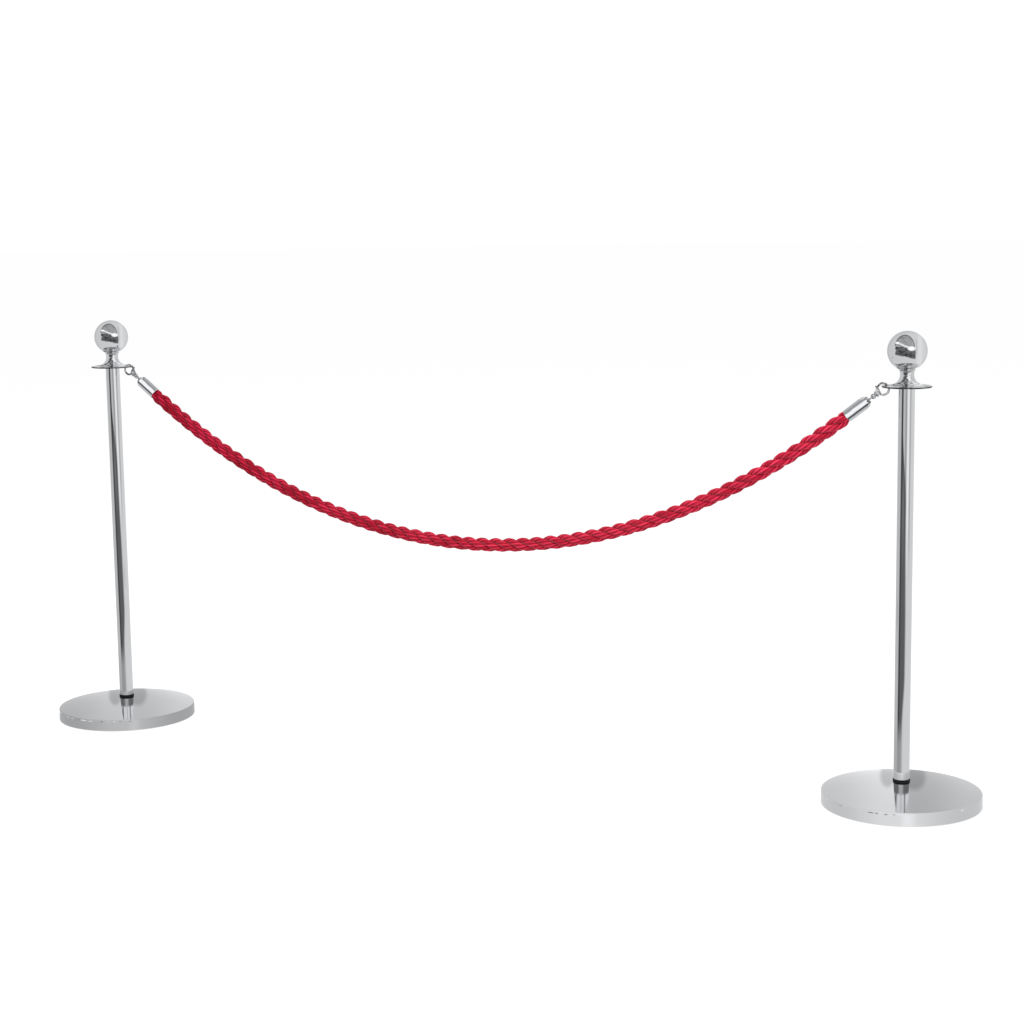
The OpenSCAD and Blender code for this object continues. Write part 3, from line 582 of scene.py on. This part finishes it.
    # hooks and eyes: small broken lights and darks
    bits = t.noise(t.join(t.mul(X, 2.6), t.mul(Y, 2.6), t.mul(oz, 150.0)), 1.0, 3.0, 0.6)
    c = t.lerp(t.step(oz, 0.8130, 0.8150), c, t.add(0.16, t.mul(t.step(bits, 0.42, 0.60), 0.80)))
    w = t.lerp(t.step(t.math("ABSOLUTE", ox), 0.9325, 0.9305), w, c)

    # base: light to the left of the tube, a little darker to the right, pale skirt, broken glints on the edge
    top = t.step(Y, 0.55, 0.75)
    a = t.sub(1.08, t.mul(t.step(X, -0.02, -0.24), 0.24))
    a = t.lerp(t.step(X, -0.012, 0.030), a, t.add(0.70, t.mul(t.step(X, 0.05, 0.24), 0.16)))
    d1 = t.math("SQRT", t.add(t.math("POWER", t.div(t.sub(X, 0.040), 0.042), 2.0), t.math("POWER", t.div(t.sub(Y, 0.976), 0.052), 2.0)))
    a = t.sub(a, t.mul(t.step(d1, 0.6, 1.1, 1.0, 0.0), 0.22))
    d2 = t.math("SQRT", t.add(t.math("POWER", t.div(t.add(X, 0.044), 0.027), 2.0), t.math("POWER", t.div(t.sub(Y, 0.978), 0.046), 2.0)))
    a = t.sub(a, t.mul(t.step(d2, 0.6, 1.1, 1.0, 0.0), 0.34))
    skirt = t.add(0.80, t.mul(t.window(X, -0.45, 0.40, 0.35), 0.26))
    skirt = t.add(skirt, t.mul(t.window(X, 0.02, 0.16, 0.06), 0.14))
    # the far base stands in less light: darker skirt and darker left half of the top
    far = t.step(ox, 0.1, -0.1)
    half = t.step(X, -0.012, 0.030)
    a = t.mul(a, t.lerp(far, t.lerp(half, 0.95, 0.90), t.lerp(half, 0.76, 1.04)))
    skirt = t.mul(skirt, t.lerp(far, 1.0, 0.68))
    bb = t.lerp(top, skirt, a)
    glint = t.noise(t.join(t.mul(X, 12.0), t.mul(oz, 200.0), t.mul(ox, 3.0)), 1.0, 2.0, 0.6)
    roll = t.window(oz, 0.0222, 0.0245, 0.0006)
    bb = t.lerp(t.mul(roll, t.step(glint, 0.60, 0.66)), bb, 1.25)
    bb = t.lerp(t.mul(t.mul(roll, t.window(X, -0.75, 0.10, 0.1)), t.step(glint, 0.42, 0.37)), bb, 0.25)

    v = t.lerp(t.step(oz, 0.8385, 0.8405), w, v)
    v = t.lerp(t.step(oz, 0.0475, 0.0510), bb, v)
    t.plug(v, out.inputs[0])
    return g


STUDIO = studio_group()


def studio_material(name, floor=False):
    m = bpy.data.materials.new(name)
    m.use_nodes = True
    m.node_tree.nodes.clear()
    t = Tree(m.node_tree)
    out = t.node("ShaderNodeOutputMaterial")
    grp = t.node("ShaderNodeGroup", node_tree=STUDIO)
    em = t.node("ShaderNodeEmission")
    t.plug(grp.outputs[0], em.inputs["Strength"])
    em.inputs["Color"].default_value = (0.985, 0.99, 1.0, 1)
    if not floor:
        t.plug(em.outputs[0], out.inputs[0])
        m.cycles.emission_sampling = "NONE"
        return m
    # pale floor: mostly even, with a soft contact shadow
    dif = t.node("ShaderNodeBsdfDiffuse")
    grain = t.noise(t.node("ShaderNodeNewGeometry").outputs["Position"], 3.0, 3.0, 0.5)
    t.plug(t.mix(grain, (0.86, 0.86, 0.865, 1), (0.88, 0.88, 0.88, 1)), dif.inputs[0])
    glow = t.node("ShaderNodeEmission")
    glow.inputs["Strength"].default_value = 0.62
    body = t.node("ShaderNodeMixShader")
    body.inputs[0].default_value = 0.62
    em2 = t.node("ShaderNodeEmission")
    em2.inputs["Strength"].default_value = 1.14
    t.plug(dif.outputs[0], body.inputs[1])
    t.plug(em2.outputs[0], body.inputs[2])
    pick = t.node("ShaderNodeMixShader")
    t.plug(t.node("ShaderNodeLightPath").outputs["Is Glossy Ray"], pick.inputs[0])
    t.plug(body.outputs[0], pick.inputs[1])
    t.plug(em.outputs[0], pick.inputs[2])
    t.plug(pick.outputs[0], out.inputs[0])
    m.cycles.emission_sampling = "NONE"
    return m


def disc_mesh(name, radius, n=96):
    v = [(radius * math.cos(2 * math.pi * i / n), radius * math.sin(2 * math.pi * i / n), 0) for i in range(n)]
    me = bpy.data.meshes.new(name)
    me.from_pydata(v, [], [tuple(range(n))])
    o = bpy.data.objects.new(name, me)
    scene.collection.objects.link(o)
    return o


floor = disc_mesh("studio_floor", 60.0)
floor.location.z = -0.0002
floor.data.materials.append(studio_material("floor_look", True))


def dome_mesh(name, radius, rings=24, seg=48):
    v = [(0, 0, radius), (0, 0, -radius)]
    for i in range(1, rings):
        e = math.pi * i / rings
        for j in range(seg):
            p = 2 * math.pi * j / seg
            v.append((radius * math.sin(e) * math.cos(p), radius * math.sin(e) * math.sin(p), radius * math.cos(e)))
    f = []
    for j in range(seg):
        k = (j + 1) % seg
        f.append((0, 2 + k, 2 + j))
        f.append((1, 2 + (rings - 2) * seg + j, 2 + (rings - 2) * seg + k))
        for i in range(rings - 2):
            a = 2 + i * seg
            f.append((a + j, a + k, a + seg + k, a + seg + j))
    me = bpy.data.meshes.new(name)
    me.from_pydata(v, [], f)
    o = bpy.data.objects.new(name, me)
    scene.collection.objects.link(o)
    return o


dome = dome_mesh("studio_dome", 40.0)
dome.data.materials.append(studio_material("dome_look"))
for flag in ("camera", "diffuse", "transmission", "volume_scatter", "shadow"):
    setattr(dome, "visible_" + flag, False)

world = bpy.data.worlds.new("studio_world")
scene.world = world
world.use_nodes = True
world.node_tree.nodes.clear()
wt = Tree(world.node_tree)
wout = wt.node("ShaderNodeOutputWorld")
bg = wt.node("ShaderNodeBackground")
bg.inputs["Color"].default_value = (1.0, 1.0, 1.0, 1.0)
sky = wt.xyz(wt.node("ShaderNodeNewGeometry").outputs["Incoming"])[2]
is_cam = wt.node("ShaderNodeLightPath").outputs["Is Camera Ray"]
wt.plug(wt.lerp(is_cam, wt.step(sky, 0.3, -0.9, 0.50, 0.92), 1.05), bg.inputs["Strength"])
wt.plug(bg.outputs[0], wout.inputs[0])


def area(name, loc, target, size, power):
    d = bpy.data.lights.new(name, "AREA")
    d.shape = "RECTANGLE"
    d.size, d.size_y = size
    d.energy = power
    o = bpy.data.objects.new(name, d)
    o.location = loc
    o.rotation_mode = "QUATERNION"
    o.rotation_quaternion = (Vector(target) - Vector(loc)).to_track_quat("-Z", "Y")
    o.visible_glossy = False
    o.visible_camera = False
    scene.collection.objects.link(o)
    return o


area("soft_top", (-0.4, -0.6, 4.2), (0, 0, 0.4), (4.0, 3.0), 120.0)
area("soft_front", (2.7, -2.9, 2.3), (0.3, 0, 0.5), (2.2, 1.8), 62.0)

# ---------------------------------------------------------------- camera
cam_data = bpy.data.cameras.new("camera")
cam_data.sensor_width = 36.0
cam_data.lens = 2044.26 * 36.0 / 1024.0
cam_data.clip_start, cam_data.clip_end = 0.05, 200.0
cam = bpy.data.objects.new("camera", cam_data)
scene.collection.objects.link(cam)
yaw, pitch, roll = -0.45135, 0.1483, -0.01474
fw = Vector((math.sin(yaw) * math.cos(pitch), math.cos(yaw) * math.cos(pitch), -math.sin(pitch)))
rt = Vector((math.cos(yaw), -math.sin(yaw), 0))
upv = rt.cross(fw)
r2 = math.cos(roll) * rt + math.sin(roll) * upv
u2 = -math.sin(roll) * rt + math.cos(roll) * upv
rot = Matrix((r2, u2, -fw)).transposed()
cam.matrix_world = Matrix.Translation((1.98999, -3.92151, 1.20002)) @ rot.to_4x4()
scene.camera = cam

scene.view_settings.view_transform = "Standard"
scene.view_settings.look = "None"
scene.cycles.use_denoising = True
scene.cycles.max_bounces = 10
scene.cycles.glossy_bounces = 8
scene.cycles.sample_clamp_indirect = 6.0
